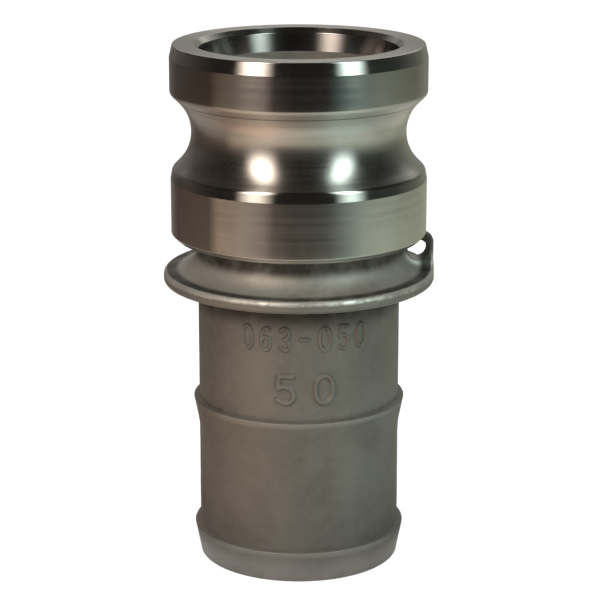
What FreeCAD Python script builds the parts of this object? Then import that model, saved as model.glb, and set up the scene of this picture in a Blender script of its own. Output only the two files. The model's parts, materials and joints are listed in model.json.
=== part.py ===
import FreeCAD, Part
import os
import Sketcher

doc = FreeCAD.newDocument("grooved_adapter")

# Driving dimensions, in millimetres. The head diameter sets every other diameter through the
# walls and steps below it. Heights run up from the hose end of the shank.
dimensions = {
    "total_length": 130.0,
    "head_diameter": 63.0,
    # turned head
    "head_length": 47.7,
    "nose_lead": 3.2,
    "nose_step": 0.75,
    "groove_drop": 21.4,
    "groove_depth": 5.3,
    "groove_arc_radius": 10.9,
    "groove_wall": 3.8,
    "barrel_lead": 2.3,
    "barrel_step": 0.45,
    "barrel_chamfer": 1.2,
    "corner_radius": 0.8,
    # mouth
    "mouth_chamfer": 1.3,
    "mouth_step": 1.2,
    "throat_depth": 11.0,
    "throat_step": 2.0,
    # neck and flange
    "neck_wall": 2.6,
    "cove_radius": 6.0,
    "flange_overhang": 2.05,
    "flange_thickness": 3.2,
    "flange_rounding": 1.2,
    # chain lug
    "lug_thickness": 5.4,
    "lug_seat": 0.2,
    "lug_shoulder": 1.4,
    "lug_edge_radius": 0.8,
    "lug_root": 0.8,
    "eye_radius": 2.4,
    "eye_floor": 2.15,
    "eye_bridge": 1.4,
    "eye_rim_wall": 1.8,
    # hose shank
    "shank_wall": 2.6,
    "root_radius": 1.8,
    "tip_rounding": 0.6,
    "tip_chamfer": 0.8,
    # hose rings
    "ring_height": 1.4,
    "ring_taper": 7.2,
    "ring_ledge": 0.4,
    "ring_from_end": 8.0,
    "ring_pitch": 33.3,
}

# Places worked out from the driving dimensions: radii and heights that several pieces share.
places = {
    "head": "head_diameter / 2",
    "nose": "head - nose_step",
    "barrel_nose": "head - barrel_step",
    "groove_floor": "head - groove_depth",
    "bore": "groove_floor - groove_wall",
    "throat": "bore + throat_step",
    "mouth": "throat + mouth_step",
    "neck_side": "bore + neck_wall",
    "cove_edge": "neck_side + cove_radius",
    "flange_rim": "head + flange_overhang",
    "shank_side": "bore + shank_wall",
    "ring_crest": "shank_side + ring_height",
    "eye_across": "flange_rim - eye_rim_wall - eye_radius",
    "underside": "total_length - head_length",
    "barrel_edge": "underside + barrel_chamfer",
    "lug_top": "underside + lug_seat",
    "eye_height": "underside - eye_bridge - eye_radius",
    "flange_top": "eye_height - eye_radius - eye_floor",
    "flange_bottom": "flange_top - flange_thickness",
    "cove_top": "flange_top + cove_radius",
    "upper_ring": "ring_from_end + ring_pitch",
    # the groove: an arc about a centre outside the floor, run out at 45 degrees both ways
    "groove_height": "total_length - groove_drop",
    "groove_centre": "groove_floor + groove_arc_radius",
    "arc_half_chord": "groove_arc_radius * sin(45deg)",
    "arc_end": "groove_centre - arc_half_chord",
    "arc_top": "groove_height + arc_half_chord",
    "arc_bottom": "groove_height - arc_half_chord",
    "groove_top": "arc_top + head - arc_end",
    "groove_bottom": "arc_bottom - barrel_nose + arc_end",
    "barrel_top": "groove_bottom - barrel_lead",
}

sizes = doc.addObject("Spreadsheet::Sheet", "sizes")
row = 1
for name, value in dimensions.items():
    sizes.set(f"A{row}", name)
    sizes.set(f"B{row}", str(value))
    sizes.setAlias(f"B{row}", name)
    row += 1
doc.recompute()
for name, rule in places.items():
    sizes.set(f"A{row}", name)
    sizes.set(f"B{row}", "=" + rule)
    sizes.setAlias(f"B{row}", name)
    row += 1
    doc.recompute()


def bound(rule):
    """A rule written with plain size names, with each name pointed at the sheet."""
    names = sorted(list(dimensions) + list(places), key=len, reverse=True)
    words = rule.split(" ")
    return " ".join("sizes." + word if word in names else word for word in words)


def new_body(label):
    body = doc.addObject("PartDesign::Body", label)
    body.Label = label
    body.Placement = FreeCAD.Placement()
    return body


def new_sketch(body, name, plane):
    """A sketch laid on one of the body's own origin planes."""
    sketch = body.newObject("Sketcher::SketchObject", name)
    support = [item for item in body.Origin.OriginFeatures if item.Role == plane][0]
    sketch.AttachmentSupport = [(support, "")]
    sketch.MapMode = "FlatFace"
    doc.recompute()
    return sketch


def draw_outline(sketch, corners):
    """A closed outline. Each corner is (across, up) with, for an arc to the next corner,
    its centre (across, up) and radius as well. Every number is a rule of the sheet."""
    values = []
    for corner in corners:
        values.append([float(sketch.evalExpression(bound(rule))) for rule in corner])
    count = len(corners)
    for index in range(count):
        start = FreeCAD.Vector(values[index][0], values[index][1], 0)
        following = values[(index + 1) % count]
        end = FreeCAD.Vector(following[0], following[1], 0)
        if len(corners[index]) == 2:
            sketch.addGeometry(Part.LineSegment(start, end), False)
            continue
        middle = FreeCAD.Vector(values[index][2], values[index][3], 0)
        toward = ((start + end) / 2 - middle).normalize()
        on_arc = middle + toward * values[index][4]
        sketch.addGeometry(Part.Arc(start, on_arc, end), False)
    # an arc is kept counter-clockwise, so its ends may be the other way round
    first = [1] * count
    for index in range(count):
        start = FreeCAD.Vector(values[index][0], values[index][1], 0)
        if (sketch.getPoint(index, 1) - start).Length > (sketch.getPoint(index, 2) - start).Length:
            first[index] = 2
    for index in range(count):
        following = (index + 1) % count
        sketch.addConstraint(Sketcher.Constraint(
            "Coincident", index, 3 - first[index], following, first[following]))
        for kind, place in (("DistanceX", 0), ("DistanceY", 1)):
            number = sketch.addConstraint(Sketcher.Constraint(
                kind, -1, 1, index, first[index], values[index][place]))
            sketch.setExpression(f"Constraints[{number}]", bound(corners[index][place]))
        if len(corners[index]) > 2:
            number = sketch.addConstraint(Sketcher.Constraint("Radius", index, values[index][4]))
            sketch.setExpression(f"Constraints[{number}]", bound(corners[index][4]))
    doc.recompute()


def turn(body, kind, name, corners):
    """A solid turned about the vertical axis (Revolution), or a cut turned out of it (Groove)."""
    sketch = new_sketch(body, name + "_outline", "XZ_Plane")
    draw_outline(sketch, corners)
    feature = body.newObject("PartDesign::" + kind, name)
    feature.Profile = sketch
    feature.ReferenceAxis = (sketch, ["V_Axis"])
    feature.Angle = 360
    doc.recompute()
    return feature


def circles_at(shape, radius, height):
    """Names of the round edges of this radius at this height."""
    names = []
    for number, edge in enumerate(shape.Edges, 1):
        curve = edge.Curve
        if not isinstance(curve, Part.Circle):
            continue
        if abs(curve.Radius - radius) < 0.01 and abs(curve.Center.z - height) < 0.01:
            names.append(f"Edge{number}")
    return names


def round_edges(body, name, places_of_edges, size):
    """A fillet on the round edges at these (radius, height) pairs of rules."""
    base = body.Tip
    edges = []
    for pair in places_of_edges:
        radius, height = [float(sizes.evalExpression(rule)) for rule in pair]
        edges += circles_at(base.Shape, radius, height)
    fillet = body.newObject("PartDesign::Fillet", name)
    fillet.Base = (base, edges)
    fillet.setExpression("Radius", "sizes." + size)
    doc.recompute()


# Turned head: nose, cam groove and barrel, with the mouth and its tapered throat.
head = new_body("adapter_head")
turn(head, "Revolution", "head_blank", [
    ("bore", "underside"),
    ("head - barrel_chamfer", "underside"),
    ("head", "barrel_edge"),
    ("head", "total_length - nose_lead"),
    ("nose", "total_length"),
    ("mouth", "total_length"),
    ("throat", "total_length - mouth_chamfer"),
    ("bore", "total_length - throat_depth"),
])
turn(head, "Groove", "cam_groove", [
    ("head", "barrel_top"),
    ("head + barrel_chamfer", "barrel_top"),
    ("head + barrel_chamfer", "groove_top"),
    ("head", "groove_top"),
    ("arc_end", "arc_top", "groove_centre", "groove_height", "groove_arc_radius"),
    ("arc_end", "arc_bottom"),
    ("barrel_nose", "groove_bottom"),
])
round_edges(head, "groove_corner", [("head", "groove_top")], "corner_radius")

# As-cast neck, with the cove that runs out to the flange.
neck = new_body("neck")
turn(neck, "Revolution", "neck_blank", [
    ("bore", "flange_top"),
    ("cove_edge", "flange_top", "cove_edge", "cove_top", "cove_radius"),
    ("neck_side", "cove_top"),
    ("neck_side", "underside"),
    ("bore", "underside"),
])

# Flange that the hose end butts against.
flange = new_body("shank_flange")
turn(flange, "Revolution", "flange_blank", [
    ("bore", "flange_bottom"),
    ("flange_rim", "flange_bottom"),
    ("flange_rim", "flange_top"),
    ("bore", "flange_top"),
])
rim_edges = [("flange_rim", "flange_bottom"), ("flange_rim", "flange_top")]
round_edges(flange, "flange_rim_rounding", rim_edges, "flange_rounding")

# Hose shank.
shank = new_body("hose_shank")
turn(shank, "Revolution", "shank_blank", [
    ("bore + tip_chamfer", "0"),
    ("shank_side", "0"),
    ("shank_side", "flange_bottom - root_radius", "shank_side + root_radius",
     "flange_bottom - root_radius", "root_radius"),
    ("shank_side + root_radius", "flange_bottom"),
    ("bore", "flange_bottom"),
    ("bore", "tip_chamfer"),
])
round_edges(shank, "shank_tip", [("shank_side", "0")], "tip_rounding")

# Barbed hose rings: a short ledge toward the flange, a long taper toward the hose end.
for label, height in (("hose_ring_upper", "upper_ring"), ("hose_ring_lower", "ring_from_end")):
    ring = new_body(label)
    turn(ring, "Revolution", label + "_barb", [
        ("shank_side", height + " - ring_taper"),
        ("ring_crest", height),
        ("shank_side", height + " + ring_ledge"),
    ])

# Chain lug: a radial plate with an eye, trimmed to the barrel, neck and flange that it joins.
plate = new_body("lug_plate")
plate_sketch = new_sketch(plate, "lug_outline", "XZ_Plane")
draw_outline(plate_sketch, [
    ("neck_side - lug_root", "flange_top - lug_root"),
    ("flange_rim", "flange_top - lug_root"),
    ("flange_rim", "lug_top - lug_shoulder"),
    ("head", "lug_top"),
    ("neck_side - lug_root", "lug_top"),
])
plate_pad = plate.newObject("PartDesign::Pad", "lug_pad")
plate_pad.Profile = plate_sketch
plate_pad.Midplane = True
plate_pad.setExpression("Length", "sizes.lug_thickness")
doc.recompute()
eye_sketch = new_sketch(plate, "eye_outline", "XZ_Plane")
eye_rules = {"DistanceX": "eye_across", "DistanceY": "eye_height", "Radius": "eye_radius"}
eye_values = {kind: float(getattr(sizes, rule)) for kind, rule in eye_rules.items()}
eye_centre = FreeCAD.Vector(eye_values["DistanceX"], eye_values["DistanceY"], 0)
eye_circle = Part.Circle(eye_centre, FreeCAD.Vector(0, 0, 1), eye_values["Radius"])
eye_sketch.addGeometry(eye_circle, False)
for kind, rule in eye_rules.items():
    where = (0,) if kind == "Radius" else (-1, 1, 0, 3)
    number = eye_sketch.addConstraint(Sketcher.Constraint(kind, *where, eye_values[kind]))
    eye_sketch.setExpression(f"Constraints[{number}]", bound(rule))
doc.recompute()
eye = plate.newObject("PartDesign::Pocket", "lug_eye")
eye.Profile = eye_sketch
eye.Type = "ThroughAll"
eye.Midplane = True
doc.recompute()
outer_edges = []
for number, edge in enumerate(eye.Shape.Edges, 1):
    box = edge.BoundBox
    at_rim = abs(box.XMin - float(sizes.flange_rim)) < 0.01 and box.XLength < 0.01
    if at_rim and box.ZLength > box.YLength:
        outer_edges.append(f"Edge{number}")
outer_rounding = plate.newObject("PartDesign::Fillet", "lug_outer_rounding")
outer_rounding.Base = (eye, outer_edges)
outer_rounding.setExpression("Radius", "sizes.lug_edge_radius")
doc.recompute()

neighbours = doc.addObject("Part::MultiFuse", "lug_neighbours")
neighbours.Shapes = [head, neck, flange]
lug = doc.addObject("Part::Cut", "chain_lug")
lug.Base = plate
lug.Tool = neighbours
lug.Label = "chain_lug"
lug.Placement = FreeCAD.Placement()
doc.recompute()

for item in doc.Objects:
    if "Invalid" in item.State or "Error" in item.State:
        raise RuntimeError(f"{item.Label} did not build: {item.State}")

os.makedirs("parts", exist_ok=True)
node_labels = [
    "adapter_head",
    "neck",
    "shank_flange",
    "chain_lug",
    "hose_shank",
    "hose_ring_upper",
    "hose_ring_lower",
]
for label in node_labels:
    shape = doc.getObjectsByLabel(label)[0].Shape
    if shape.isNull() or not shape.isValid():
        raise RuntimeError(f"{label} is not a valid solid")
    shape.exportStep(f"parts/{label}.step")
    box = shape.optimalBoundingBox()
    print(label, len(shape.Solids), round(shape.Volume, 1), box)
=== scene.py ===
import json
import math
import bmesh
import bpy
import numpy as np
from mathutils import Matrix, Vector


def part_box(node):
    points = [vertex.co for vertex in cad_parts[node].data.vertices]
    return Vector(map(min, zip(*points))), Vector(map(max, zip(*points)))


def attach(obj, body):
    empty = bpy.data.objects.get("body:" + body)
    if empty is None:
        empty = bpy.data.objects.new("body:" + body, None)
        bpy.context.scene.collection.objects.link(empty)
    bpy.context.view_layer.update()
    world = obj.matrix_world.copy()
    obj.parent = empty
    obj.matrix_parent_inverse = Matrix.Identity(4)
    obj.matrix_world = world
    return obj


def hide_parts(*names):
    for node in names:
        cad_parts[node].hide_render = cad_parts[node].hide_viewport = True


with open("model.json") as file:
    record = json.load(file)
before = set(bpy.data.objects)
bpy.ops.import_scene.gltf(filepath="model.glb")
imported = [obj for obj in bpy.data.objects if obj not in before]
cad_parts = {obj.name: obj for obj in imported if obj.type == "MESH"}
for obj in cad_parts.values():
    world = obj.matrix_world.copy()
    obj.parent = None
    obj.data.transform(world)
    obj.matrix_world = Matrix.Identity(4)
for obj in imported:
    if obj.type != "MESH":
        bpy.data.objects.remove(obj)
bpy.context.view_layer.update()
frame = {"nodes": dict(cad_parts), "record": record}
print("frame:", ", ".join(sorted(frame["nodes"])))

mm = 0.001

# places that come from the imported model
headLow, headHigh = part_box("adapter_head")
flangeLow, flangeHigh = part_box("shank_flange")
upperRingLow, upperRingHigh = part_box("hose_ring_upper")
lowerRingLow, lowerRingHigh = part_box("hose_ring_lower")
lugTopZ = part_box("chain_lug")[1].z
mounts = {mount["name"]: mount for mount in frame["record"]["mounts"]}

topZ = headHigh.z
undersideZ = headLow.z
headRadius = headHigh.x
flangeTopZ = flangeHigh.z
flangeBottomZ = flangeLow.z
rimRadius = flangeHigh.x

boreRadius = 22.4 * mm
sideRadius = 25.0 * mm      # neck and shank alike


# outlines

# Corners are (radius, height, rounding) of a closed outline. Roundings become arcs, and straight
# runs get a point close to each end, so that smooth shading stays flat between them.
def roundedOutline(corners, spacing, closeStep=0.05 * mm, arcTurn=math.radians(9)):
    count = len(corners)
    stretches = []
    for index, (radius, height, rounding) in enumerate(corners):
        here = np.array((radius, height))
        before = np.array(corners[index - 1][:2])
        after = np.array(corners[(index + 1) % count][:2])
        back = (before - here) / np.linalg.norm(before - here)
        ahead = (after - here) / np.linalg.norm(after - here)
        halfAngle = math.acos(max(-1, min(1, float(back @ ahead)))) / 2
        if rounding == 0:
            stretches.append([here])
            continue
        reach = rounding / math.tan(halfAngle)
        middle = (back + ahead) / np.linalg.norm(back + ahead)
        centre = here + middle * rounding / math.sin(halfAngle)
        start = here + back * reach - centre
        end = here + ahead * reach - centre
        turn = math.atan2(start[0] * end[1] - start[1] * end[0], float(start @ end))
        steps = max(3, math.ceil(abs(turn) / arcTurn))
        arc = []
        for step in range(steps + 1):
            angle = turn * step / steps
            cosine, sine = math.cos(angle), math.sin(angle)
            arc.append(centre + (start[0] * cosine - start[1] * sine,
                                 start[0] * sine + start[1] * cosine))
        stretches.append(arc)
    points = []
    for index, stretch in enumerate(stretches):
        points.extend(stretch)
        start, end = stretch[-1], stretches[(index + 1) % count][0]
        length = float(np.linalg.norm(end - start))
        if length < 4 * closeStep:
            continue
        pieces = max(1, round(length / spacing))
        shares = [closeStep / length, *(k / pieces for k in range(1, pieces)), 1 - closeStep / length]
        points.extend(start + (end - start) * share for share in shares)
    return points


# node helpers for geometry and for materials

def setInputs(tree, node, values):
    # an input takes another node's output, a number or a colour
    for key, value in values.items():
        if isinstance(value, bpy.types.NodeSocket):
            tree.links.new(value, node.inputs[key])
        else:
            node.inputs[key].default_value = (*value, 1) if isinstance(value, tuple) else value


def addNode(tree, kind, inputs, **settings):
    node = tree.nodes.new(kind)
    for name, value in settings.items():
        setattr(node, name, value)
    setInputs(tree, node, inputs)
    return node.outputs


def mathNode(tree, operation, *values):
    return addNode(tree, "ShaderNodeMath", dict(enumerate(values)), operation=operation)[0]


def product(tree, first, *others):
    for other in others:
        first = mathNode(tree, "MULTIPLY", first, other)
    return first


def splitVector(tree, vector):
    return addNode(tree, "ShaderNodeSeparateXYZ", {0: vector})


def joinVector(tree, **parts):
    return addNode(tree, "ShaderNodeCombineXYZ", parts)[0]


def flatLength(tree, split):
    # distance from the Z axis
    flat = joinVector(tree, X=split["X"], Y=split["Y"])
    return addNode(tree, "ShaderNodeVectorMath", {0: flat}, operation="LENGTH")["Value"]


def noiseNode(tree, vector, scale, detail, roughness):
    return addNode(tree, "ShaderNodeTexNoise", {"Vector": vector, "Scale": scale, "Detail": detail,
                                                "Roughness": roughness})[0]


def noiseOfSize(tree, vector, size, detail, roughness):
    return noiseNode(tree, vector, mathNode(tree, "DIVIDE", 1, size), detail, roughness)


# geometry nodes: a turned surface, and the waviness of a cast skin

def newTree(name, sizes):
    # geometry in and out, named sizes, and the material that the tree leaves on its mesh
    tree = bpy.data.node_groups.new(name, "GeometryNodeTree")
    for label, kind in [("Geometry", "NodeSocketGeometry"), *sizes, ("Material", "NodeSocketMaterial")]:
        tree.interface.new_socket(label, in_out="INPUT", socket_type=kind)
    tree.interface.new_socket("Geometry", in_out="OUTPUT", socket_type="NodeSocketGeometry")
    return tree, tree.nodes.new("NodeGroupInput").outputs


def endTree(tree, incoming, geometry):
    real = addNode(tree, "GeometryNodeRealizeInstances", {0: geometry})[0]
    inputs = {"Geometry": real, "Material": incoming["Material"]}
    painted = addNode(tree, "GeometryNodeSetMaterial", inputs)[0]
    addNode(tree, "NodeGroupOutput", {0: painted})


seamGap = 0.002 * mm
sharpAngle = math.radians(38)


def turnedSurfaceTree():
    # the incoming mesh is an outline in the XZ plane; it is carried once round the Z axis
    tree, incoming = newTree("turnedSurface", [("Segments", "NodeSocketInt")])
    outline, segments = incoming["Geometry"], incoming["Segments"]
    rows = addNode(tree, "GeometryNodeAttributeDomainSize", {"Geometry": outline})["Point Count"]
    grid = addNode(tree, "GeometryNodeMeshGrid", {"Size X": segments, "Size Y": rows,
                                                  "Vertices X": mathNode(tree, "ADD", segments, 1),
                                                  "Vertices Y": mathNode(tree, "ADD", rows, 1)})
    place = addNode(tree, "GeometryNodeInputPosition", {})[0]
    split = splitVector(tree, place)
    column = mathNode(tree, "ADD", split["X"], mathNode(tree, "DIVIDE", segments, 2))
    row = mathNode(tree, "ADD", split["Y"], mathNode(tree, "DIVIDE", rows, 2))
    wrapped = mathNode(tree, "MODULO", mathNode(tree, "ROUND", row), rows)
    inputs = {"Geometry": outline, "Value": place, "Index": wrapped}
    sample = addNode(tree, "GeometryNodeSampleIndex", inputs, data_type="FLOAT_VECTOR")[0]
    angle = product(tree, mathNode(tree, "DIVIDE", column, segments), 2 * math.pi)
    inputs = {"Vector": sample, "Angle": angle}
    turned = addNode(tree, "ShaderNodeVectorRotate", inputs, rotation_type="Z_AXIS")[0]
    moved = addNode(tree, "GeometryNodeSetPosition", {"Geometry": grid["Mesh"], "Position": turned})[0]
    # the first and the last column meet in a seam, which is closed
    inputs = {"Geometry": moved, "Distance": seamGap}
    endTree(tree, incoming, addNode(tree, "GeometryNodeMergeByDistance", inputs)[0])
    return tree


skinShape = {
    "Swell Height": 0.07 * mm,
    "Swell Size": 11 * mm,
    "Dimple Height": 0.022 * mm,
    "Dimple Size": 2.2 * mm,
    "Still Below": 1.5 * mm,
}


def castSkinTree():
    # pushes a skin in and out by two sizes of noise, and fades out just above the standing face
    tree, incoming = newTree("castSkin", [(label, "NodeSocketFloat") for label in skinShape])
    place = addNode(tree, "GeometryNodeInputPosition", {})[0]
    heights = []
    for name in ("Swell", "Dimple"):
        noise = noiseOfSize(tree, place, incoming[name + " Size"], detail=2, roughness=0.5)
        centred = mathNode(tree, "SUBTRACT", noise, 0.5)
        heights.append(product(tree, centred, incoming[name + " Height"], 2))
    rise = mathNode(tree, "DIVIDE", splitVector(tree, place)["Z"], incoming["Still Below"])
    offset = product(tree, mathNode(tree, "ADD", *heights), mathNode(tree, "MINIMUM", rise, 1))
    normal = addNode(tree, "GeometryNodeInputNormal", {})[0]
    push = addNode(tree, "ShaderNodeVectorMath", {0: normal, "Scale": offset}, operation="SCALE")[0]
    inputs = {"Geometry": incoming["Geometry"], "Offset": push}
    endTree(tree, incoming, addNode(tree, "GeometryNodeSetPosition", inputs)[0])
    return tree


def runTree(item, tree, values):
    modifier = item.modifiers.new(tree.name, "NODES")
    modifier.node_group = tree
    for socket in tree.interface.items_tree:
        if socket.in_out == "INPUT" and socket.name in values:
            modifier[socket.identifier] = values[socket.name]
    bpy.context.view_layer.update()
    graph = bpy.context.evaluated_depsgraph_get()
    mesh = bpy.data.meshes.new_from_object(item.evaluated_get(graph))
    item.modifiers.clear()
    item.data = mesh


def outwards(mesh):
    work = bmesh.new()
    work.from_mesh(mesh)
    bmesh.ops.recalc_face_normals(work, faces=work.faces)
    work.to_mesh(mesh)
    work.free()


def addPiece(name, points, edges, faces):
    mesh = bpy.data.meshes.new(name)
    mesh.from_pydata([tuple(point) for point in points], edges, faces)
    item = bpy.data.objects.new(name, mesh)
    bpy.context.scene.collection.objects.link(item)
    return item


def paintAll(item, *materials):
    # leaves the given materials as the only slots, with every face on the first
    item.data.materials.clear()
    for material in materials:
        item.data.materials.append(material)
    item.data.polygons.foreach_set("material_index", [0] * len(item.data.polygons))


def finishPiece(item, slot, *nodes):
    outwards(item.data)
    item.data.shade_smooth()
    item.data.set_sharp_from_angle(angle=sharpAngle)
    if nodes:
        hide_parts(*nodes)
    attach(item, "root")
    print("piece", item.name, len(item.data.polygons), "faces")


turnedSurface = turnedSurfaceTree()
castSkin = castSkinTree()


def roughenSkin(item, material):
    runTree(item, castSkin, {**skinShape, "Material": material})


def turnPiece(name, outline, segments, material, cast):
    count = len(outline)
    points = [(radius, 0, height) for radius, height in outline]
    loop = [(index, (index + 1) % count) for index in range(count)]
    item = addPiece(name, points, loop, [])
    runTree(item, turnedSurface, {"Segments": segments, "Material": material})
    if cast:
        outwards(item.data)
        roughenSkin(item, material)
    paintAll(item, material)
    return item


# materials

def shaderGroup(name, sizes, outputs):
    # a vector and sizes in, heights and masks out
    group = bpy.data.node_groups.new(name, "ShaderNodeTree")
    group.interface.new_socket("Vector", in_out="INPUT", socket_type="NodeSocketVector")
    for label in sizes:
        group.interface.new_socket(label, in_out="INPUT", socket_type="NodeSocketFloat")
    for label in outputs:
        group.interface.new_socket(label, in_out="OUTPUT", socket_type="NodeSocketFloat")
    return group, group.nodes.new("NodeGroupInput").outputs, group.nodes.new("NodeGroupOutput")


def placeGroup(tree, group, vector, sizes):
    return addNode(tree, "ShaderNodeGroup", {"Vector": vector, **sizes}, node_tree=group)


def rangeNode(tree, value, fromLow, fromHigh, toLow=0.0, toHigh=1.0, smooth=True):
    inputs = dict(enumerate((value, fromLow, fromHigh, toLow, toHigh)))
    kind = "SMOOTHSTEP" if smooth else "LINEAR"
    return addNode(tree, "ShaderNodeMapRange", inputs, interpolation_type=kind)[0]


def rampNear(tree, value, base, start, end, toLow=0.0, toHigh=1.0):
    # the same, between two places that are given from a base
    return rangeNode(tree, value, base + start, base + end, toLow, toHigh)


def colourMix(tree, factor, first, second):
    return addNode(tree, "ShaderNodeMix", {0: factor, 6: first, 7: second}, data_type="RGBA")[2]


def bumpNode(tree, height, distance):
    return addNode(tree, "ShaderNodeBump", {"Strength": 1, "Distance": distance, "Height": height})[0]


def ringCoordinates(tree, vector, angleTrace=0.0015):
    # turns a place into (distance from the axis, height), with a trace of the angle left in
    split = splitVector(tree, vector)
    radius = flatLength(tree, split)
    trace = product(tree, split["X"], angleTrace)
    return joinVector(tree, X=radius, Y=trace, Z=split["Z"])


# where each noise starts to count, and where it is full
markRanges = {"Bands": (0.3, 0.7), "Streaks": (0.35, 0.7)}
grainRanges = {"Pits": (0.62, 0.74), "Stain": (0.35, 0.68), "Mottle": (0.3, 0.7)}
streakScale = 90
mottleScale = 520
pitDepth = 0.7       # beside a height of 1 for the grit


def turningMarksGroup():
    # fine rings left by the tool: a height for the bump, and masks of bands and of streaks
    group, incoming, outgoing = shaderGroup("turningMarks", ("Ring Pitch", "Band Width"),
                                            ("Height", "Bands", "Streaks"))
    rings = ringCoordinates(group, incoming["Vector"])
    fine = noiseOfSize(group, rings, incoming["Ring Pitch"], detail=3, roughness=0.65)
    bands = noiseOfSize(group, rings, incoming["Band Width"], detail=2, roughness=0.6)
    streaks = noiseNode(group, incoming["Vector"], streakScale, detail=3, roughness=0.6)
    setInputs(group, outgoing, {"Height": fine,
                                "Bands": rangeNode(group, bands, *markRanges["Bands"]),
                                "Streaks": rangeNode(group, streaks, *markRanges["Streaks"])})
    return group


def castGrainGroup():
    # blasted casting: fine grit, shallow pits and slow changes of tone
    group, incoming, outgoing = shaderGroup("castGrain", ("Grit Size", "Pit Size", "Stain Size"),
                                            ("Height", "Pits", "Stain", "Mottle"))
    vector = incoming["Vector"]
    grit = noiseOfSize(group, vector, incoming["Grit Size"], detail=3, roughness=0.6)
    pits = noiseOfSize(group, vector, incoming["Pit Size"], detail=1, roughness=0.5)
    pits = rangeNode(group, pits, *grainRanges["Pits"])
    stain = noiseOfSize(group, vector, incoming["Stain Size"], detail=3, roughness=0.55)
    mottle = noiseNode(group, vector, mottleScale, detail=3, roughness=0.6)
    height = mathNode(group, "SUBTRACT", grit, product(group, pits, pitDepth))
    setInputs(group, outgoing, {"Height": height, "Pits": pits,
                                "Stain": rangeNode(group, stain, *grainRanges["Stain"]),
                                "Mottle": rangeNode(group, mottle, *grainRanges["Mottle"])})
    return group


turningMarks = turningMarksGroup()
castGrain = castGrainGroup()


def newMaterial(name):
    material = bpy.data.materials.new(name)
    material.use_nodes = True
    tree = material.node_tree
    shader = tree.nodes["Principled BSDF"]
    place = addNode(tree, "ShaderNodeTexCoord", {})["Object"]
    return material, tree, shader, place


turnedLook = {
    "colour": (0.57, 0.55, 0.52),
    "dullColour": (0.50, 0.48, 0.45),
    # painted shade: a thin dark line where the outline bends
    "bendShadeColour": (0.16, 0.15, 0.14),
    "bendShadeHalfWidth": (0.08 * mm, 0.22 * mm),      # full, and faded out
    "bendShadeShare": 0.75,
    "roughness": 0.24,
    "fineRoughness": 0.13,       # on the nose and the barrel
    "flankRoughness": 0.34,      # on the upper flank of the groove
    "bandSpread": 0.05,
    "streakSpread": 0.03,
    "anisotropy": 0.80,
    "stretchTurn": 0.25,         # a quarter turn, so that highlights stretch across the rings
    "ringPitch": 0.35 * mm,
    "bandWidth": 2.4 * mm,
    "markHeight": 0.003 * mm,
}

# the bored part of the throat
boredLook = {
    **turnedLook,
    "colour": (0.29, 0.275, 0.265),
    "dullColour": (0.25, 0.235, 0.225),
    "roughness": 0.20,
    "anisotropy": 0.70,
}


def turnedSteelMaterial(name, look, zones=(), lines=()):
    # zones are (low, high, roughness): height ranges that were turned with another tool;
    # lines are the heights of thin dark lines of painted shade where the outline bends
    material, tree, shader, place = newMaterial(name)
    sizes = {"Ring Pitch": look["ringPitch"], "Band Width": look["bandWidth"]}
    marks = placeGroup(tree, turningMarks, place, sizes)
    split = splitVector(tree, place)
    soft = 0.1 * mm
    roughness = look["roughness"]
    for low, high, inside in zones:
        above = rampNear(tree, split["Z"], low, -soft, soft)
        below = rampNear(tree, split["Z"], high, -soft, soft, 1.0, 0.0)
        roughness = rangeNode(tree, product(tree, above, below), 0, 1, roughness, inside, False)
    banded = product(tree, mathNode(tree, "SUBTRACT", marks["Bands"], 0.5), look["bandSpread"])
    roughness = mathNode(tree, "ADD", roughness, banded)
    streaked = product(tree, marks["Streaks"], look["streakSpread"])
    roughness = mathNode(tree, "ADD", roughness, streaked)
    dull = product(tree, marks["Bands"], marks["Streaks"])
    colour = colourMix(tree, dull, look["colour"], look["dullColour"])
    # painted shade: a thin dark line at each given height
    for height in lines:
        away = mathNode(tree, "ABSOLUTE", mathNode(tree, "SUBTRACT", split["Z"], height))
        line = rangeNode(tree, away, *look["bendShadeHalfWidth"], look["bendShadeShare"], 0.0)
        colour = colourMix(tree, line, colour, look["bendShadeColour"])
    around = joinVector(tree, X=product(tree, split["Y"], -1), Y=split["X"])
    setInputs(tree, shader, {"Base Color": colour, "Metallic": 1, "Roughness": roughness,
                             "Normal": bumpNode(tree, marks["Height"], look["markHeight"]),
                             "Anisotropic": look["anisotropy"],
                             "Anisotropic Rotation": look["stretchTurn"],
                             "Tangent": around})
    return material


castLook = {
    "colour": (0.282, 0.264, 0.238),
    "darkColour": (0.222, 0.206, 0.184),
    "paleColour": (0.346, 0.332, 0.306),
    "paleShare": 0.35,
    "pitShare": 0.3,
    "paintedShadeColour": (0.055, 0.049, 0.043),
    "shadeNoiseScale": 220,
    "shadeNoiseRange": (0.3, 0.6, 0.7, 0.95),
    "shadeEdge": 0.01 * mm,
    # heights of painted shade: where it starts, where it is full and above which there is none
    # painted shade on the shank under the flange
    "paintedShade": [(flangeBottomZ - 7.5 * mm, flangeBottomZ - 2.2 * mm, flangeBottomZ + 0.3 * mm),
              # painted shade: darker towards the bottom of the shank
              (7.8 * mm, -8 * mm, 9 * mm)],
    "crestHighlightColour": (0.40, 0.385, 0.355),
    "crestHighlightRadii": (-0.32 * mm, -0.1 * mm),      # from the crest of a ring
    "crestHighlightShare": 0.8,
    "highlightFront": (-20 * mm, -12 * mm),               # painted highlight in front of this, and less behind it
    "behindShare": 0.2,
    "metallic": 0.80,                            # the blasted skin is part oxide
    "roughness": 0.60,
    "roughnessSpread": 0.08,
    "gritSize": 0.28 * mm,
    "gritHeight": 0.035 * mm,
    "pitSize": 1.3 * mm,
    "stainSize": 16 * mm,
}
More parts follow.
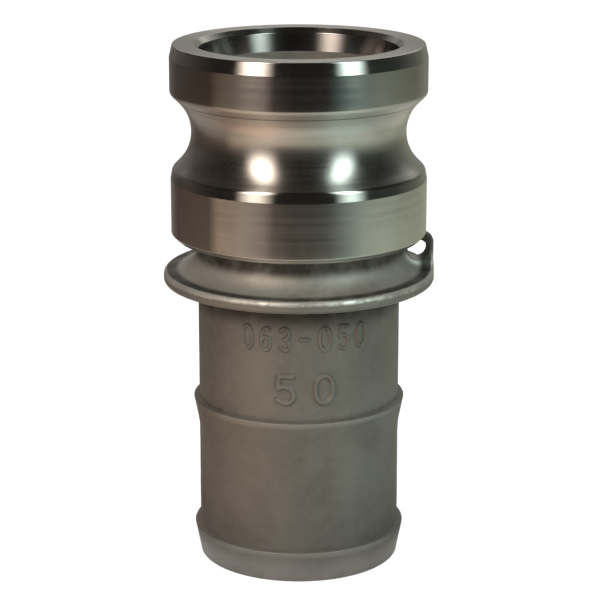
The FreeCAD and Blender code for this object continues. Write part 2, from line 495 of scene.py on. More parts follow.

# the collar was blasted less than the shank, so it is less rough; its paler colour is partly its own and
# partly painted light on its upward faces, and its rim gets painted shade and a rubbed line with a
# painted highlight
collarLook = {
    **castLook,
    "colour": (0.54, 0.52, 0.475),
    "darkColour": (0.40, 0.372, 0.335),
    "paleColour": (0.64, 0.62, 0.57),
    "paintedShadeColour": (0.075, 0.068, 0.060),
    # painted shade on the neck under the barrel's overhang
    "paintedShade": [(undersideZ - 5.8 * mm, undersideZ - 3.2 * mm, undersideZ + 0.3 * mm)],
    # from the rim's radius and top: a ring of painted shade, painted shade on the rim's side, and its
    # rubbed line with a painted highlight
    "shadeRingRadii": (-4.2 * mm, -2.6 * mm, -1.0 * mm, -0.6 * mm),
    "shadeRingHeights": (-0.6 * mm, -0.3 * mm),
    "rimRadii": (-0.6 * mm, -0.25 * mm),
    # painted shade on the rim's outer side
    "sideShadeColour": (0.25, 0.238, 0.215),
    "sideShadeHeights": (-1.4 * mm, -0.8 * mm),
    "sideShadeShare": 0.9,
    # the rubbed line: its lower roughness is wear, its pale colour a painted highlight
    "wearAndSheenColour": (0.80, 0.78, 0.73),
    "wearAndSheenHeights": (-1.5 * mm, -1.0 * mm, -0.35 * mm, -0.1 * mm),
    "wornRoughness": 0.38,
    "patchScale": 200,
    "patches": (0.40, 0.6, 0.05, 1.0),
    "highlightFront": (-25 * mm, -15 * mm),
    "metallic": 0.72,
    "roughness": 0.50,
    "gritHeight": 0.022 * mm,
}


def castSteelMaterial(name, look, edge=None, crest=None):
    # edge is the (radius, height) of a rim that gets painted shade and a rubbed line with a painted
    # highlight, crest a radius with a painted highlight
    material, tree, shader, place = newMaterial(name)
    sizes = {"Grit Size": look["gritSize"], "Pit Size": look["pitSize"], "Stain Size": look["stainSize"]}
    grain = placeGroup(tree, castGrain, place, sizes)
    colour = colourMix(tree, grain["Stain"], look["colour"], look["darkColour"])
    pale = product(tree, grain["Mottle"], look["paleShare"])
    colour = colourMix(tree, pale, colour, look["paleColour"])
    pitted = product(tree, grain["Pits"], look["pitShare"])
    colour = colourMix(tree, pitted, colour, look["darkColour"])
    spread = product(tree, grain["Mottle"], look["roughnessSpread"])
    roughness = mathNode(tree, "ADD", spread, look["roughness"])
    split = splitVector(tree, place)
    radius, height = flatLength(tree, split), split["Z"]
    highlightFront = rangeNode(tree, split["Y"], *look["highlightFront"], 1.0, look["behindShare"])
    uneven = noiseNode(tree, place, look["shadeNoiseScale"], detail=3, roughness=0.6)
    uneven = rangeNode(tree, uneven, *look["shadeNoiseRange"])
    # painted shade over each band of heights, broken up by noise
    for start, full, end in look["paintedShade"]:
        below = rampNear(tree, height, end, -look["shadeEdge"], 0, 1.0, 0.0)
        shaded = product(tree, rangeNode(tree, height, start, full), below, uneven)
        colour = colourMix(tree, shaded, colour, look["paintedShadeColour"])
    if crest:
        # painted highlight along a ring's crest, mostly on the front
        crestHighlight = rampNear(tree, radius, crest, *look["crestHighlightRadii"], 0.0, look["crestHighlightShare"])
        colour = colourMix(tree, product(tree, crestHighlight, highlightFront), colour, look["crestHighlightColour"])
    if edge:
        rim, top = edge
        start, full, fading, end = look["shadeRingRadii"]
        # painted shade in a ring just inside the rim
        ring = product(tree, rampNear(tree, radius, rim, start, full),
                       rampNear(tree, radius, rim, fading, end, 1.0, 0.0),
                       rampNear(tree, height, top, *look["shadeRingHeights"]), uneven)
        colour = colourMix(tree, ring, colour, look["paintedShadeColour"])
        outer = rampNear(tree, radius, rim, *look["rimRadii"])
        # painted shade on the rim's outer side, below its top edge
        side = rampNear(tree, height, top, *look["sideShadeHeights"], look["sideShadeShare"], 0.0)
        colour = colourMix(tree, product(tree, outer, side), colour, look["sideShadeColour"])
        # rubbed line on the rim's top edge: lower roughness is wear, the pale colour, mostly on the
        # front, is a painted highlight
        start, full, fading, end = look["wearAndSheenHeights"]
        patchy = noiseNode(tree, place, look["patchScale"], detail=3, roughness=0.65)
        patchy = rangeNode(tree, patchy, *look["patches"])
        wearAndSheen = product(tree, outer, rampNear(tree, height, top, start, full),
                       rampNear(tree, height, top, fading, end, 1.0, 0.0), highlightFront, patchy)
        colour = colourMix(tree, wearAndSheen, colour, look["wearAndSheenColour"])
        roughness = rangeNode(tree, wearAndSheen, 0, 1, roughness, look["wornRoughness"], False)
    setInputs(tree, shader, {"Base Color": colour, "Metallic": look["metallic"], "Roughness": roughness,
                             "Normal": bumpNode(tree, grain["Height"], look["gritHeight"])})
    return material


# turned head

headShape = {
    "noseLead": 3.2 * mm,
    "noseStep": 0.75 * mm,
    "noseRounding": 0.4 * mm,
    "grooveDrop": 21.4 * mm,
    "grooveFloor": 26.2 * mm,
    "grooveArc": 10.9 * mm,
    "flankRounding": 1.5 * mm,
    "flankDrop": 0.3 * mm,
    "flankStart": 6.2 * mm,      # above the middle of the groove
    "barrelLead": 2.3 * mm,
    "barrelStep": 0.45 * mm,
    "barrelChamfer": 1.2 * mm,
    "chamferRounding": 0.35 * mm,
    "footRounding": 0.3 * mm,
    "leadRounding": 0.25 * mm,
    "mouthRadius": 25.6 * mm,
    "mouthRounding": 0.15 * mm,
    "mouthChamfer": 1.3 * mm,
    "throatRadius": 24.4 * mm,
    "throatDepth": 11.0 * mm,
    "throatRounding": 3 * mm,
    "boredDepth": 5.8 * mm,      # below it the throat is left as cast
    "boredRounding": 0.05 * mm,
    "castStep": 0.2 * mm,
    "castStepRounding": 0.1 * mm,
    "zoneEnds": (0.3 * mm, 0.2 * mm),      # above the barrel, and below the mouth
    "spacing": 1.1 * mm,
    "segments": 384,
}


def grooveHeights(shape):
    # where the 45 degree flanks would meet, and where they leave the head and the barrel
    vertex = shape["grooveFloor"] - shape["grooveArc"] * (math.sqrt(2) - 1)
    middle = topZ - shape["grooveDrop"]
    top = middle + headRadius - vertex
    bottom = middle - (headRadius - shape["barrelStep"] - vertex)
    return vertex, middle, top, bottom


def makeHead(shape, turned, bore, cast):
    vertex, middle, top, bottom = grooveHeights(shape)
    lead = shape["leadRounding"]
    boredZ = topZ - shape["boredDepth"]
    chamfer = shape["mouthChamfer"]
    share = (shape["boredDepth"] - chamfer) / (shape["throatDepth"] - chamfer)
    boredEnd = shape["throatRadius"] + (boreRadius - shape["throatRadius"]) * share
    corners = [
        (boreRadius, undersideZ, 0),
        (headRadius - shape["barrelChamfer"], undersideZ, shape["footRounding"]),
        (headRadius, undersideZ + shape["barrelChamfer"], shape["chamferRounding"]),
        (headRadius, bottom - shape["barrelLead"], lead),
        (headRadius - shape["barrelStep"], bottom, shape["flankRounding"]),
        (vertex, middle, shape["grooveArc"]),
        (headRadius, top - shape["flankDrop"], shape["flankRounding"]),
        (headRadius, topZ - shape["noseLead"], lead),
        (headRadius - shape["noseStep"], topZ, shape["noseRounding"]),
        (shape["mouthRadius"], topZ, shape["mouthRounding"]),
        (shape["throatRadius"], topZ - chamfer, lead),
        (boredEnd, boredZ, shape["boredRounding"]),
        (boredEnd - shape["castStep"], boredZ - shape["castStep"], shape["castStepRounding"]),
        (boreRadius, topZ - shape["throatDepth"], shape["throatRounding"]),
    ]
    outline = roundedOutline(corners, shape["spacing"])
    item = turnPiece("turnedHead", outline, shape["segments"], turned, False)
    paintAll(item, turned, bore, cast)
    for face in item.data.polygons:
        centre = face.center
        inThroat = math.hypot(centre.x, centre.y) < shape["throatRadius"]
        inThroat = inThroat and undersideZ + 0.1 * mm < centre.z < topZ - chamfer
        face.material_index = int(inThroat) + int(inThroat and centre.z < boredZ)
    finishPiece(item, "turned_steel", "adapter_head")


grooveZ, grooveTop, grooveBottom = grooveHeights(headShape)[1:]
barrelEnd, noseEnd = headShape["zoneEnds"]
headZones = [(undersideZ, grooveBottom + barrelEnd, turnedLook["fineRoughness"]),
             (grooveTop, topZ - noseEnd, turnedLook["fineRoughness"]),
             (grooveZ + headShape["flankStart"], grooveTop, turnedLook["flankRoughness"])]
# painted shade along the bend where the groove's arc meets its upper flank
headBendShades = [grooveZ + headShape["grooveArc"] * math.sqrt(0.5)]
turnedSteel = turnedSteelMaterial("turnedSteel", turnedLook, headZones, headBendShades)
boredSteel = turnedSteelMaterial("boredSteel", boredLook)
castSteel = castSteelMaterial("castSteel", castLook)
makeHead(headShape, turnedSteel, boredSteel, castSteel)


# as-cast body: neck, flange, shank and rings

castShape = {
    "coveRadius": 6.0 * mm,
    "rimRounding": 1.25 * mm,
    "rootRadius": 1.8 * mm,
    "tipRounding": 0.7 * mm,
    "tipChamfer": 0.8 * mm,
    "tipEdges": (0.2 * mm, 0.3 * mm),      # roundings where it meets the hose end and the bore
    "ringLedge": 0.4 * mm,
    "ringCrestRounding": 0.3 * mm,
    "ringLead": 1.8 * mm,
    "leadShare": 0.95,           # how much of the lead is an arc
    "ringSunk": 0.25 * mm,
    "overhang": 0.02 * mm,       # how far a face goes on past the foot of an arc
    "spacing": {"castNeck": 0.9 * mm, "castFlange": 0.9 * mm, "castShank": 1.0 * mm,
                "upperHoseRing": 0.8 * mm, "lowerHoseRing": 0.8 * mm},
    "segments": 320,
}


def makeCastPiece(name, node, corners, shape, cast):
    outline = roundedOutline(corners, shape["spacing"][name])
    item = turnPiece(name, outline, shape["segments"], cast, True)
    finishPiece(item, "cast_steel", node)


def makeNeck(shape, cast):
    cove = shape["coveRadius"]
    corners = [
        (boreRadius, flangeTopZ, 0),
        (sideRadius + cove + shape["overhang"], flangeTopZ, 0),
        (sideRadius, flangeTopZ, cove),
        (sideRadius, undersideZ, 0),
        (boreRadius, undersideZ, 0),
    ]
    makeCastPiece("castNeck", "neck", corners, shape, cast)


def makeFlange(shape, cast):
    corners = [
        (boreRadius, flangeBottomZ, 0),
        (rimRadius, flangeBottomZ, shape["rimRounding"]),
        (rimRadius, flangeTopZ, shape["rimRounding"]),
        (boreRadius, flangeTopZ, 0),
    ]
    makeCastPiece("castFlange", "shank_flange", corners, shape, cast)


def makeShank(shape, cast):
    root = shape["rootRadius"]
    foot, inner = shape["tipEdges"]
    corners = [
        (boreRadius + shape["tipChamfer"], 0, foot),
        (sideRadius, 0, shape["tipRounding"]),
        (sideRadius, flangeBottomZ, root),
        (sideRadius + root + shape["overhang"], flangeBottomZ, 0),
        (boreRadius, flangeBottomZ, 0),
        (boreRadius, shape["tipChamfer"], inner),
    ]
    makeCastPiece("castShank", "hose_shank", corners, shape, cast)


def makeRing(name, node, low, high, shape, cast):
    # the taper runs into the shank over a short lead below it, where there is room
    crest = high.z - shape["ringLedge"]
    sunkRadius = sideRadius - shape["ringSunk"]
    slope = math.atan2(high.x - sideRadius, crest - low.z)
    lead = min(shape["ringLead"], low.z - shape["tipRounding"])
    corners = [
        (sunkRadius, low.z - lead, 0),
        (sideRadius, low.z - lead, 0),
        (sideRadius, low.z, shape["leadShare"] * lead / math.tan(slope / 2)),
        (high.x, crest, shape["ringCrestRounding"]),
        (sideRadius, high.z, 0),
        (sunkRadius, high.z, 0),
    ]
    makeCastPiece(name, node, corners, shape, cast)


collarSteel = castSteelMaterial("collarSteel", collarLook, (rimRadius, flangeTopZ))
makeNeck(castShape, collarSteel)
makeFlange(castShape, collarSteel)
makeShank(castShape, castSteel)
# the rings get a painted highlight along their crests
ringSteel = castSteelMaterial("ringSteel", castLook, None, upperRingHigh.x)
makeRing("upperHoseRing", "hose_ring_upper", upperRingLow, upperRingHigh, castShape, ringSteel)
makeRing("lowerHoseRing", "hose_ring_lower", lowerRingLow, lowerRingHigh, castShape, ringSteel)


# cast chain lug, blended into the cove and the flange
lugShape = {
    "thickness": 5.4 * mm,
    "edgeRounding": 0.35 * mm,
    "outerRounding": 0.5 * mm,
    "topRounding": 0.6 * mm,
    "topDrop": 1.4 * mm,
    "footBlend": 3.2 * mm,
    "eyeBlend": 0.5 * mm,
    "footDrop": 1.2 * mm,        # how far into the flange the plate goes
    "reach": 4.2 * mm,           # how far the blend spreads from the plate
    "sink": 0.03 * mm,
    "shell": 0.45 * mm,
    "headGap": 0.15 * mm,
    "trim": 0.6 * mm,            # the lug ends this far above the barrel's underside
    # the block of space that is worked out: inwards, outwards, below, above and to each side
    "block": (2 * mm, 0.8 * mm, 0.6 * mm, 1.2 * mm, 7.2 * mm),
    "step": 0.2 * mm,
}


def smoothLeast(first, second, blend):
    share = np.clip(0.5 + 0.5 * (second - first) / blend, 0, 1)
    return second + (first - second) * share - blend * share * (1 - share)


def smoothMost(first, second, blend):
    return -smoothLeast(-first, -second, blend)


def roundedPair(first, second):
    # distance to where two walls meet, with the outside of the corner rounded
    beyond = np.hypot(np.maximum(first, 0), np.maximum(second, 0))
    return np.minimum(np.maximum(first, second), 0) + beyond


def skinOf(field, low, step):
    # closed skin round the negative part of a block of distances, one point in each crossed cell
    inside = field < 0
    cells = tuple(size - 1 for size in field.shape)
    total = np.zeros(cells + (3,))
    count = np.zeros(cells)
    for axis in range(3):
        others = [other for other in range(3) if other != axis]
        for shift in ((0, 0), (0, 1), (1, 0), (1, 1)):
            start = [slice(0, size) for size in cells]
            for other, move in zip(others, shift):
                start[other] = slice(move, move + cells[other])
            end = list(start)
            end[axis] = slice(1, 1 + cells[axis])
            here, there = field[tuple(start)], field[tuple(end)]
            crossed = (here < 0) != (there < 0)
            gap = np.where(crossed, here - there, 1)
            place = np.zeros(cells + (3,))
            place[..., axis] = here / gap
            for other, move in zip(others, shift):
                place[..., other] = move
            total += place * crossed[..., None]
            count += crossed
    used = count > 0
    corner = np.argwhere(used)
    points = np.array(low) + step * (corner + total[used] / count[used][:, None])
    number = np.full(cells, -1)
    number[used] = np.arange(len(corner))
    faces = []
    for axis in range(3):
        first, second = (axis + 1) % 3, (axis + 2) % 3
        start = [slice(1, size - 1) for size in field.shape]
        start[axis] = slice(0, cells[axis])
        end = list(start)
        end[axis] = slice(1, 1 + cells[axis])
        here, there = inside[tuple(start)], inside[tuple(end)]
        for index in np.argwhere(here != there):
            base = index + 1
            base[axis] = index[axis]
            ring = []
            for back, side in ((1, 1), (0, 1), (0, 0), (1, 0)):
                cell = base.copy()
                cell[first] -= back
                cell[second] -= side
                ring.append(int(number[tuple(cell)]))
            faces.append(ring if here[tuple(index)] else ring[::-1])
    return points, faces


def bodyDistance(radius, height, shape):
    # roughly how far a place is outside the neck, cove and flange; negative inside them
    cove = shape["coveRadius"]
    inCove = np.maximum(sideRadius + cove - radius, 0)
    rise = np.maximum(flangeTopZ + cove - height, 0)
    coveSide = cove - np.hypot(inCove, rise)
    neckSide = radius - sideRadius
    lowWall = np.where(radius < sideRadius + cove, coveSide, 1)
    wall = np.where(height < flangeTopZ + cove, lowWall, neckSide)
    rounding = shape["rimRounding"]
    middle = (flangeTopZ + flangeBottomZ) / 2
    half = (flangeTopZ - flangeBottomZ) / 2
    out = radius - (rimRadius - rounding)
    up = np.abs(height - middle) - (half - rounding)
    return np.minimum(wall, roundedPair(out, up) - rounding)


def makeLug(shape, cast, castForm):
    eye = mounts["lug_eye"]
    inwards, outside, below, above, half = shape["block"]
    low = np.array((sideRadius - inwards, -half, flangeBottomZ - below))
    high = np.array((rimRadius + outside, half, undersideZ + above))
    axes = [np.arange(start, end, shape["step"]) for start, end in zip(low, high)]
    x, y, z = np.meshgrid(*axes, indexing="ij")
    radius = np.hypot(x, y)
    body = bodyDistance(radius, z, castForm)
    eyeWall = eye["dims"]["r_mm"] * mm - np.hypot(x - eye["pos_m"][0], z - eye["pos_m"][2])
    # outline of the plate: a flat top that slopes down towards its outer edge
    slope = np.array((shape["topDrop"], rimRadius - headRadius))
    slope = slope / np.linalg.norm(slope)
    sloping = (x - headRadius) * slope[0] + (z - lugTopZ) * slope[1]
    outline = smoothMost(z - lugTopZ, sloping, shape["topRounding"])
    outline = smoothMost(outline, radius - rimRadius, shape["outerRounding"])
    outline = np.maximum(outline, flangeBottomZ + shape["footDrop"] - z)
    outline = np.maximum(outline, eyeWall)
    rounding = shape["edgeRounding"]
    side = np.abs(y) - (shape["thickness"] / 2 - rounding)
    plate = roundedPair(outline + rounding, side) - rounding
    # the eye is cut again after the foot is blended, so that it stays round
    joined = smoothLeast(body, plate, shape["footBlend"])
    joined = smoothMost(joined, radius - rimRadius, shape["outerRounding"])
    joined = smoothMost(joined, eyeWall, shape["eyeBlend"])
    joined = np.maximum(joined, z - (undersideZ + shape["trim"]))
    field = np.maximum(joined + shape["sink"], -(body + shape["shell"]))
    field = np.maximum(field, plate - shape["reach"])
    # stop short of the turned head, which has a skin of its own
    chamfer = radius - (headRadius - headShape["barrelChamfer"])
    head = np.maximum(undersideZ - z, chamfer - np.maximum(z - undersideZ, 0))
    field = np.maximum(field, -head - shape["headGap"])
    points, faces = skinOf(field, low, shape["step"])
    lug = addPiece("chainLug", points, [], faces)
    paintAll(lug, cast)
    smooth = lug.modifiers.new("smooth", "SMOOTH")
    smooth.factor = 0.5
    smooth.iterations = 1
    roughenSkin(lug, cast)
    finishPiece(lug, "cast_steel", "chain_lug")


makeLug(lugShape, collarSteel, castShape)


# raised size numbers on the shank
numberShape = {
    "marks": [
        {"text": "50", "tall": 8.0 * mm, "wide": 5.6 * mm, "pitch": 9.4 * mm,
         "bottom": 45.6 * mm, "stroke": 1.2 * mm, "relief": 0.62 * mm},
        {"text": "063-050", "tall": 6.5 * mm, "wide": 3.4 * mm, "pitch": 4.8 * mm,
         "bottom": 59.0 * mm, "stroke": 0.85 * mm, "relief": 0.55 * mm},
    ],
    "draft": 0.34 * mm,
    "buried": 0.14 * mm,
    "root": 0.45 * mm,
    "step": 0.13 * mm,
    "bearing": -90,
}


def ovalLine(count=49, fullness=0.8):
    line = []
    for turn in np.linspace(0, 2 * math.pi, count):
        cosine = math.cos(turn)
        line.append((math.sin(turn), 0.5 + 0.5 * math.copysign(abs(cosine) ** fullness, cosine)))
    return line


# centre lines of the digits in a cell from -1 to 1 across and 0 to 1 up; True rounds the corners off
digitLines = {
    "0": [(False, ovalLine())],
    "3": [(True, ((-0.85, 0.86), (-0.2, 1), (0.6, 0.93), (0.8, 0.72), (0.4, 0.55), (-0.15, 0.52))),
          (True, ((-0.15, 0.52), (0.6, 0.47), (0.95, 0.25), (0.6, 0.04), (-0.2, 0), (-0.95, 0.15)))],
    "5": [(False, ((0.8, 1), (-0.72, 1), (-0.85, 0.55))),
          (True, ((-0.85, 0.55), (-0.2, 0.63), (0.6, 0.57), (0.97, 0.31),
                  (0.6, 0.05), (-0.15, 0), (-0.95, 0.13)))],
    "6": [(True, ((0.75, 0.9), (0.15, 1), (-0.6, 0.84), (-0.97, 0.5), (-0.85, 0.15), (-0.2, 0),
                  (0.5, 0.02), (0.95, 0.25), (0.75, 0.5), (0.1, 0.6), (-0.6, 0.52), (-0.93, 0.33)))],
    "-": [(False, ((-0.75, 0.5), (0.75, 0.5)))],
}


def softened(points, rounds=3):
    # cuts the corners of an open line again and again
    line = np.array(points, dtype=float)
    for _ in range(rounds):
        before, after = line[:-1], line[1:]
        cut = np.stack((0.75 * before + 0.25 * after, 0.25 * before + 0.75 * after), axis=1)
        line = np.concatenate((line[:1], cut.reshape(-1, 2), line[-1:]))
    return line


def distanceToLine(across, up, line):
    best = np.full(across.shape, 1.0)
    for (ax, ay), (bx, by) in zip(line[:-1], line[1:]):
        length = (bx - ax) ** 2 + (by - ay) ** 2
        share = np.clip(((across - ax) * (bx - ax) + (up - ay) * (by - ay)) / length, 0, 1)
        best = np.minimum(best, np.hypot(across - ax - share * (bx - ax), up - ay - share * (by - ay)))
    return best


def raisedDigit(digit, centre, mark, shape):
    # a closed island: relief on top, and a flat back sunk in the shank
    step, draft = shape["step"], shape["draft"]
    margin = mark["stroke"] / 2 + 3 * draft
    across = np.arange(-mark["wide"] / 2 - margin, mark["wide"] / 2 + margin, step)
    up = np.arange(-margin, mark["tall"] + margin, step)
    s, h = np.meshgrid(across, up, indexing="ij")
    edge = np.full(s.shape, 1.0)
    half = (mark["wide"] - mark["stroke"]) / 2
    tall = mark["tall"] - mark["stroke"]
    for rounded, points in digitLines[digit]:
        line = softened(points) if rounded else np.array(points, dtype=float)
        line = line * (half, tall) + (0, mark["stroke"] / 2)
        edge = np.minimum(edge, distanceToLine(s, h, line) - mark["stroke"] / 2)
    share = np.clip((draft - edge) / (2 * draft), 0, 1)
    rise = -shape["buried"] + (mark["relief"] + shape["buried"]) * share * share * (3 - 2 * share)
    kept = edge < draft * 1.6
    cells = kept[:-1, :-1] | kept[1:, :-1] | kept[:-1, 1:] | kept[1:, 1:]
    used = np.zeros(s.shape, bool)
    for di in (0, 1):
        for dj in (0, 1):
            used[di:di + cells.shape[0], dj:dj + cells.shape[1]] |= cells
    amount = int(used.sum())
    number = np.full(s.shape, -1)
    number[used] = np.arange(amount)
    points = []
    for layer in (rise, np.full(s.shape, -shape["root"])):
        radius = sideRadius + layer[used]
        angle = math.radians(shape["bearing"]) + (centre + s[used]) / sideRadius
        height = mark["bottom"] + h[used]
        points.append(np.stack((radius * np.cos(angle), radius * np.sin(angle), height), 1))
    faces = []
    sides = {}
    for i, j in np.argwhere(cells):
        ring = [int(number[i + di, j + dj]) for di, dj in ((0, 0), (1, 0), (1, 1), (0, 1))]
        faces.append(ring)
        faces.append([corner + amount for corner in ring[::-1]])
        for start, end in zip(ring, ring[1:] + ring[:1]):
            if (end, start) in sides:
                del sides[(end, start)]
            else:
                sides[(start, end)] = True
    for start, end in sides:
        faces.append([end, start, start + amount, end + amount])
    return np.concatenate(points), faces


def makeNumbers(shape, cast):
    points, faces, offset = [], [], 0
    for mark in shape["marks"]:
        middle = (len(mark["text"]) - 1) / 2
        for place, digit in enumerate(mark["text"]):
            island, islandFaces = raisedDigit(digit, (place - middle) * mark["pitch"], mark, shape)
            points.append(island)
            faces.extend([corner + offset for corner in face] for face in islandFaces)
            offset += len(island)
    numbers = addPiece("raisedNumbers", np.concatenate(points), [], faces)
    paintAll(numbers, cast)
    outwards(numbers.data)
    roughenSkin(numbers, cast)
    finishPiece(numbers, "cast_steel")


makeNumbers(numberShape, castSteel)


# camera, floor and studio
cameraView = {
    "lens": 135.06,
    "distance": 542.16 * mm,     # level distance from the axis
    "height": 213.2 * mm,
    "pitch": math.radians(15.253),
    "azimuth": math.radians(-93.5),
    "sidestep": 0.3 * mm,
}


def makeCamera(view):
    towards = Vector((math.cos(view["azimuth"]), math.sin(view["azimuth"]), 0))
    right = Vector((-towards.y, towards.x, 0))
    camera = bpy.data.cameras.new("camera")
    camera.lens = view["lens"]
    camera.sensor_width = 36
    camera.clip_start = 0.02
    item = bpy.data.objects.new("camera", camera)
    item.location = towards * view["distance"] + right * view["sidestep"]
    item.location.z = view["height"]
    heading = math.atan2(-towards.y, -towards.x) - math.pi / 2
    item.rotation_euler = (math.pi / 2 - view["pitch"], 0, heading)
    bpy.context.scene.collection.objects.link(item)
    bpy.context.scene.camera = item


def fromCamera(view, bearing):
    # level direction at a bearing from the camera, positive to its right
    angle = view["azimuth"] + math.radians(bearing)
    return Vector((math.cos(angle), math.sin(angle), 0))


# bearings are from the camera and positive to its right
studio = {
    # upright soft boxes, each from a low end to a high end: bearing and height
    "leftBox": {"low": (-38.5, 0.06), "high": (-48, 2.8), "wide": 0.86, "away": 1.2,
                "radiance": 6.6, "colour": (1.0, 0.87, 0.76)},
    "rightBox": {"low": (46.5, 0.06), "high": (55, 2.7), "wide": 0.74, "away": 1.2,
                 "radiance": 5.8, "colour": (0.82, 1.0, 0.95)},
    # shares of a box over which its light fades out, and what is left of it at its foot
    "softSide": 0.5,
    "softLow": 0.32,
    "softHigh": 0.55,
    "footShare": 0.2,
    "floorSize": 6.0,
    "floorGlow": 0.85,
    "floorColour": (0.4, 0.4, 0.4),
    "worldDiffuse": 0.4,
    "surroundAway": 1.6,
    "surroundTall": 3.0,
    "surroundFrom": 0.030,       # inner edge of the floor covering, and its height
    "surroundLift": 0.002,
    "roofFrom": 0.01,
    "surroundSteps": 72,
    "contactShade": (0.030, 0.080),
    "contactTone": (0.10, 0.095, 0.09),
    # tones at the bearings; a floor row holds between two distances, and the rows above blend in
    # over a band of heights
    "bearings": (-180, -135, -84, -73, -50, -30, -21, -5, 10, 25, 42, 58, 76, 96, 123, 150),
    "floorTones": [
        (0.05, 0.13, ((0.40, 0.38, 0.33), (0.40, 0.34, 0.29), (0.46, 0.32, 0.25), (0.74, 0.52, 0.38),
                      (0.98, 0.72, 0.53), (1.02, 0.78, 0.61), (0.85, 0.69, 0.56), (0.72, 0.64, 0.53),
                      (0.67, 0.65, 0.54), (0.66, 0.71, 0.61), (0.66, 0.80, 0.71), (0.58, 0.73, 0.64),
                      (0.56, 0.70, 0.62), (0.46, 0.52, 0.45), (0.56, 0.60, 0.52), (0.52, 0.55, 0.49))),
        (0.17, 0.23, ((0.40, 0.38, 0.33), (0.36, 0.32, 0.28), (0.32, 0.27, 0.22), (0.54, 0.45, 0.35),
                      (0.77, 0.65, 0.50), (0.93, 0.77, 0.62), (0.79, 0.67, 0.56), (0.69, 0.62, 0.51),
                      (0.67, 0.62, 0.52), (0.68, 0.69, 0.58), (0.77, 0.85, 0.73), (0.70, 0.76, 0.63),
                      (0.70, 0.74, 0.62), (0.50, 0.52, 0.43), (0.60, 0.62, 0.52), (0.55, 0.55, 0.47))),
        (0.34, 0.46, ((0.30, 0.28, 0.24), (0.10, 0.07, 0.06), (0.14, 0.10, 0.08), (0.48, 0.35, 0.26),
                      (0.45, 0.36, 0.30), (0.25, 0.20, 0.17), (0.09, 0.07, 0.06), (0.035, 0.03, 0.028),
                      (0.035, 0.035, 0.03), (0.07, 0.08, 0.07), (0.20, 0.25, 0.22), (0.42, 0.50, 0.42),
                      (0.50, 0.57, 0.47), (0.45, 0.50, 0.40), (0.40, 0.43, 0.33), (0.38, 0.40, 0.31))),
        (0.66, 2.0, ((0.20, 0.19, 0.17), (0.08, 0.065, 0.055), (0.05, 0.035, 0.028), (0.09, 0.07, 0.055),
                     (0.17, 0.14, 0.12), (0.22, 0.18, 0.16), (0.025, 0.018, 0.016),
                     *[(0.012, 0.009, 0.009)] * 2, (0.018, 0.016, 0.017), (0.08, 0.13, 0.13),
                     (0.13, 0.20, 0.19), (0.19, 0.22, 0.18), (0.17, 0.19, 0.15), (0.16, 0.165, 0.13),
                     (0.25, 0.25, 0.21))),
    ],
    "wallTones": ((0.27, 0.26, 0.24), (0.12, 0.10, 0.09), (0.03, 0.025, 0.02),
                  *[(0.02, 0.018, 0.016)] * 6, (0.02, 0.02, 0.018), (0.02, 0.022, 0.02),
                  (0.025, 0.028, 0.025), (0.03, 0.035, 0.03), (0.04, 0.045, 0.04),
                  (0.12, 0.13, 0.11), (0.24, 0.25, 0.21)),
    "wallBand": (0.01, 0.10),
    "highTones": ((0.90, 0.88, 0.84), (0.07, 0.06, 0.05), *[(0.018, 0.015, 0.013)] * 10,
                  *[(0.018, 0.017, 0.015)] * 2, (0.05, 0.055, 0.05), (0.75, 0.77, 0.72)),
    "highBand": (0.48, 0.80),
    "roofBand": (2.5, 2.95),
    "roofTone": (0.020, 0.017, 0.015),
}


def makeBox(name, room, view):
    # a tall soft box that stands beside the object and faces it
    look = room[name]
    low, high = [fromCamera(view, bearing) * look["away"] + Vector((0, 0, height))
                 for bearing, height in (look["low"], look["high"])]
    upward = (high - low).normalized()
    tall = (high - low).length
    middle = (low + high) / 2
    outward = upward.cross(middle).cross(upward).normalized()
    lamp = bpy.data.lights.new(name, "AREA")
    lamp.shape = "RECTANGLE"
    lamp.size = look["wide"]
    lamp.size_y = tall
    lamp.energy = look["radiance"] * math.pi * look["wide"] * tall
    lamp.color = look["colour"]
    lamp.use_nodes = True
    tree = lamp.node_tree
    panel = splitVector(tree, addNode(tree, "ShaderNodeNewGeometry", {})["Parametric"])
    aside = mathNode(tree, "ABSOLUTE", mathNode(tree, "SUBTRACT", panel["X"], 0.5))
    strength = product(tree, rangeNode(tree, aside, 0.5 - room["softSide"], 0.5, 1.0, 0.0),
                       rangeNode(tree, panel["Y"], 0, room["softLow"], room["footShare"], 1.0),
                       rangeNode(tree, panel["Y"], 1 - room["softHigh"], 1, 1.0, 0.0))
    setInputs(tree, tree.nodes["Emission"], {"Strength": strength})
    item = bpy.data.objects.new(name, lamp)
    item.location = middle
    item.rotation_euler = Matrix((upward.cross(outward), upward, outward)).transposed().to_euler()
    item.visible_camera = False
    bpy.context.scene.collection.objects.link(item)


def blankMaterial(name):
    material = bpy.data.materials.new(name)
    material.use_nodes = True
    material.node_tree.nodes.clear()
    return material, material.node_tree


def seenDirectly(tree):
    # 1 for what the camera, mirrors and glass see, 0 for light that lands on matte surfaces
    path = addNode(tree, "ShaderNodeLightPath", {})
    seen = mathNode(tree, "MAXIMUM", path["Is Camera Ray"], path["Is Glossy Ray"])
    return mathNode(tree, "MAXIMUM", seen, path["Is Transmission Ray"])


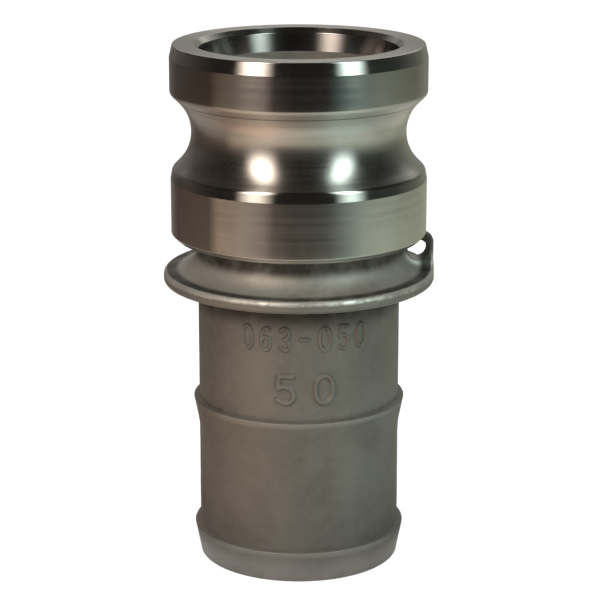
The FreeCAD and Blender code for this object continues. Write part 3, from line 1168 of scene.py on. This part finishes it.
def makeFloor(look):
    size = look["floorSize"]
    corners = [(-size, -size, 0), (size, -size, 0), (size, size, 0), (-size, size, 0)]
    floor = addPiece("floor", corners, [], [(0, 1, 2, 3)])
    material, tree = blankMaterial("studioFloor")
    matte = addNode(tree, "ShaderNodeBsdfDiffuse", {"Color": look["floorColour"]})[0]
    strength = product(tree, seenDirectly(tree), look["floorGlow"])
    glow = addNode(tree, "ShaderNodeEmission", {"Strength": strength})[0]
    both = addNode(tree, "ShaderNodeAddShader", {0: matte, 1: glow})[0]
    addNode(tree, "ShaderNodeOutputMaterial", {"Surface": both})
    floor.data.materials.append(material)


def makeWorld(look):
    world = bpy.data.worlds.new("studio")
    bpy.context.scene.world = world
    world.use_nodes = True
    tree = world.node_tree
    strength = rangeNode(tree, seenDirectly(tree), 0, 1, look["worldDiffuse"], 1.0, False)
    setInputs(tree, tree.nodes["Background"], {"Strength": strength, "Color": (1, 1, 1)})


def makeSurround(look, view):
    # curtain, roof and floor covering round the object, which glow: painted reflections for the metal,
    # and a pale patch behind that lights its rough faces; their tones change with the bearing
    away, tall, steps = look["surroundAway"], look["surroundTall"], look["surroundSteps"]
    lift = look["surroundLift"]
    rings = ((look["surroundFrom"], lift), (away, lift), (away, tall), (look["roofFrom"], tall))
    points, faces = [], []
    for radius, height in rings:
        for step in range(steps):
            towards = fromCamera(view, 360 * step / steps)
            points.append((towards.x * radius, towards.y * radius, height))
    for ring in range(len(rings) - 1):
        for step in range(steps):
            following = (step + 1) % steps
            faces.append((ring * steps + step, ring * steps + following,
                          (ring + 1) * steps + following, (ring + 1) * steps + step))
    surround = addPiece("studioSurround", points, [], faces)
    material, tree = blankMaterial("studioSurround")
    place = addNode(tree, "ShaderNodeTexCoord", {})["Object"]
    inputs = {"Vector": place, "Angle": -view["azimuth"]}
    split = splitVector(tree, addNode(tree, "ShaderNodeVectorRotate", inputs, rotation_type="Z_AXIS")[0])
    bearing = mathNode(tree, "ARCTAN2", split["Y"], split["X"])
    share = mathNode(tree, "MULTIPLY_ADD", bearing, 0.5 / math.pi, 0.5)
    radius = flatLength(tree, split)

    def tonesNode(tones):
        ramp = tree.nodes.new("ShaderNodeValToRGB")
        stops = ramp.color_ramp.elements
        while len(stops) < len(tones) + 1:
            stops.new(0.5)
        angles = list(look["bearings"]) + [180]
        for stop, angle, tone in zip(stops, angles, list(tones) + [tones[0]]):
            stop.position = (angle + 180) / 360
            stop.color = (*tone, 1)
        tree.links.new(share, ramp.inputs[0])
        return ramp.outputs[0]

    colour = tonesNode(look["floorTones"][0][2])
    reach = look["floorTones"][0][1]
    for start, end, tones in look["floorTones"][1:]:
        colour = colourMix(tree, rangeNode(tree, radius, reach, start), colour, tonesNode(tones))
        reach = end
    shade = rangeNode(tree, radius, *look["contactShade"])
    colour = colourMix(tree, shade, look["contactTone"], colour)
    upper = {"wallBand": tonesNode(look["wallTones"]), "highBand": tonesNode(look["highTones"]),
             "roofBand": look["roofTone"]}
    for band, tone in upper.items():
        colour = colourMix(tree, rangeNode(tree, split["Z"], *look[band]), colour, tone)
    glow = addNode(tree, "ShaderNodeEmission", {"Color": colour})[0]
    addNode(tree, "ShaderNodeOutputMaterial", {"Surface": glow})
    surround.data.materials.append(material)
    surround.visible_camera = False      # only mirrored in the metal
    surround.visible_diffuse = False
    surround.visible_shadow = False


makeCamera(cameraView)
makeBox("leftBox", studio, cameraView)
makeBox("rightBox", studio, cameraView)
makeFloor(studio)
makeSurround(studio, cameraView)
makeWorld(studio)
print("studio ready")
bpy.context.scene.view_settings.view_transform = "Standard"
